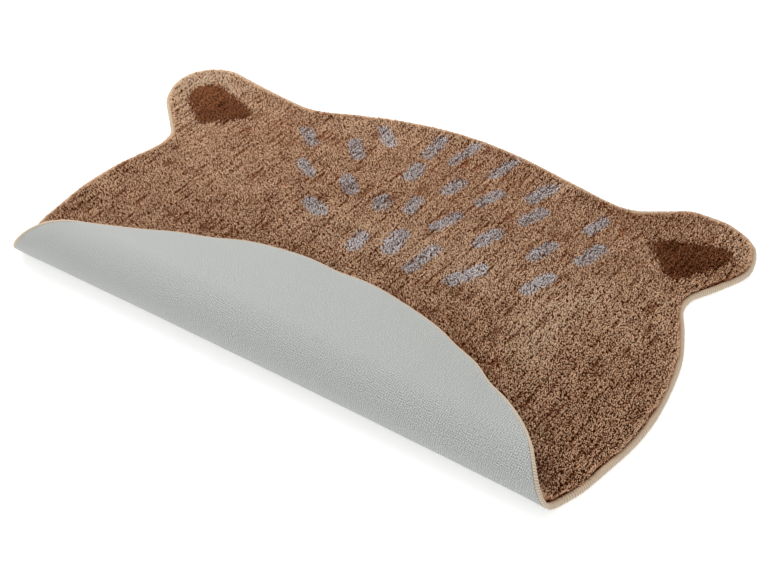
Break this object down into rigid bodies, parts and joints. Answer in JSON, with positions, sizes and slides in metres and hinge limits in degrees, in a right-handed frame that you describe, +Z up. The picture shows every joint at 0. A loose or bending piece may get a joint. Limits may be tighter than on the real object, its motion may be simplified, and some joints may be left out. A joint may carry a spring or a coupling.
{
  "type": "kids rug",
  "caption": "Cut-pile rug in the outline of an animal's head, with a whipped yarn edge; the chin edge is rolled up and turned back, so that the woven backing shows.",
  "frame": {"origin": "on the floor, under the middle of the folded rug's bounding box", "axes": "+X from the left ear to the right ear, +Y away from the turned edge towards the crown, +Z up from the floor"},
  "size_m": [1.0068, 0.6104, 0.0819],
  "materials": {
    "pile_yarn": "soft cut pile in warm brown yarn, with darker brown ear patches and scattered grey-lilac dashes",
    "backing_weave": "pale grey plain-woven backing cloth, matt",
    "edge_yarn": "grey-tan whipped yarn, matt"
  },
  "bodies": {
    "root": {"pile_cloth": "pile_yarn", "backing_cloth": "backing_weave", "edge_binding": "edge_yarn"}
  },
  "joints": []
}
